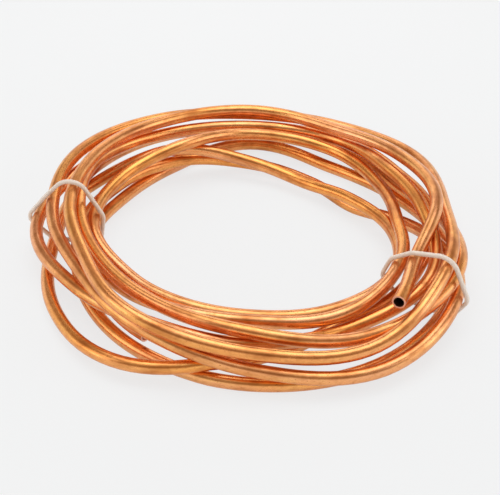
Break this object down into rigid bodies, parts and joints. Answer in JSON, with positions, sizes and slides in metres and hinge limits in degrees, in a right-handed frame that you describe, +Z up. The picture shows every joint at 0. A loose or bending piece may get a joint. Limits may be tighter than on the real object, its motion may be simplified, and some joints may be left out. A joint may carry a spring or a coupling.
{
  "type": "coil of copper tube",
  "caption": "Loose hand-wound coil of soft bare copper tube for cutting to length, open at both ends and bound by two clear straps.",
  "frame": {"origin": "on the floor, under the middle of the coil's box", "axes": "+Z up out of the coil's hole; -Y the side that faces the viewer; +X to the viewer's right, where the upper tube end is"},
  "size_m": [0.2136, 0.222, 0.0367],
  "materials": {
    "copper": null,
    "clear_plastic": "translucent"
  },
  "bodies": {
    "root": {"copper_tube": "copper", "left_strap": "clear_plastic", "right_strap": "clear_plastic"}
  },
  "joints": []
}
